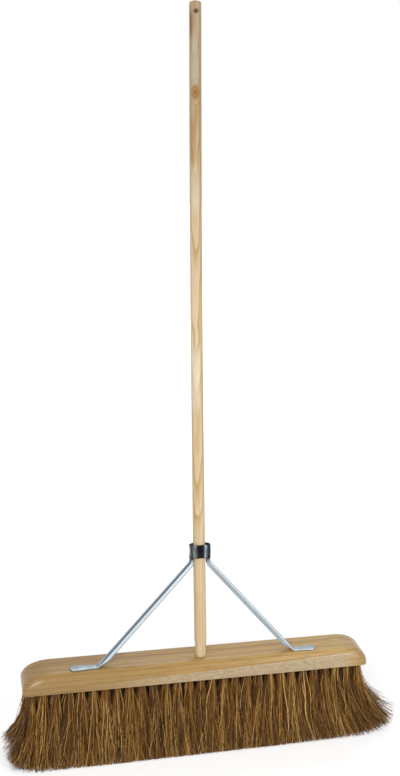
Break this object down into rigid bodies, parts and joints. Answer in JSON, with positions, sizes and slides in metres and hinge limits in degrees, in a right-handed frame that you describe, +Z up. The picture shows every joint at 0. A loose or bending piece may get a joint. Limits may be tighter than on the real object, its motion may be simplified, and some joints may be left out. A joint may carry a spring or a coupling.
{
  "type": "coir broom",
  "caption": "Platform broom: a rounded wooden head set with splayed coir tufts, a raked round wooden handle and a two-legged steel stay with a collar round the handle.",
  "frame": {"origin": "on the floor under the middle tuft of the head, where the level-cut tips of the bristles stand", "axes": "+X along the head, +Y towards the side that the handle leans to, +Z up"},
  "size_m": [0.6951, 0.3512, 1.2535],
  "materials": {
    "head_wood": "varnished hardwood with brown grain streaks, satin gloss",
    "handle_wood": "smooth bare pale wood with long golden grain and a small knot",
    "coir": "dry matt brown coconut fibre, strands from dark brown to gold",
    "bright_zinc": "bright zinc-plated pressed steel",
    "dark_zinc": "smooth dark zinc-plated sheet with soft reflections"
  },
  "bodies": {
    "root": {"head_block": "head_wood", "handle": "handle_wood", "bristle_row_1": "coir", "bristle_row_2": "coir", "bristle_row_3": "coir", "bristle_row_4": "coir", "bristle_row_5": "coir", "stay_left": "bright_zinc", "stay_right": "bright_zinc", "collar": "dark_zinc", "rivet_left": "bright_zinc", "rivet_right": "bright_zinc", "collar_screw": "bright_zinc", "foot_screw_left_1": "bright_zinc", "foot_screw_left_2": "bright_zinc", "foot_screw_right_1": "bright_zinc", "foot_screw_right_2": "bright_zinc"}
  },
  "joints": []
}
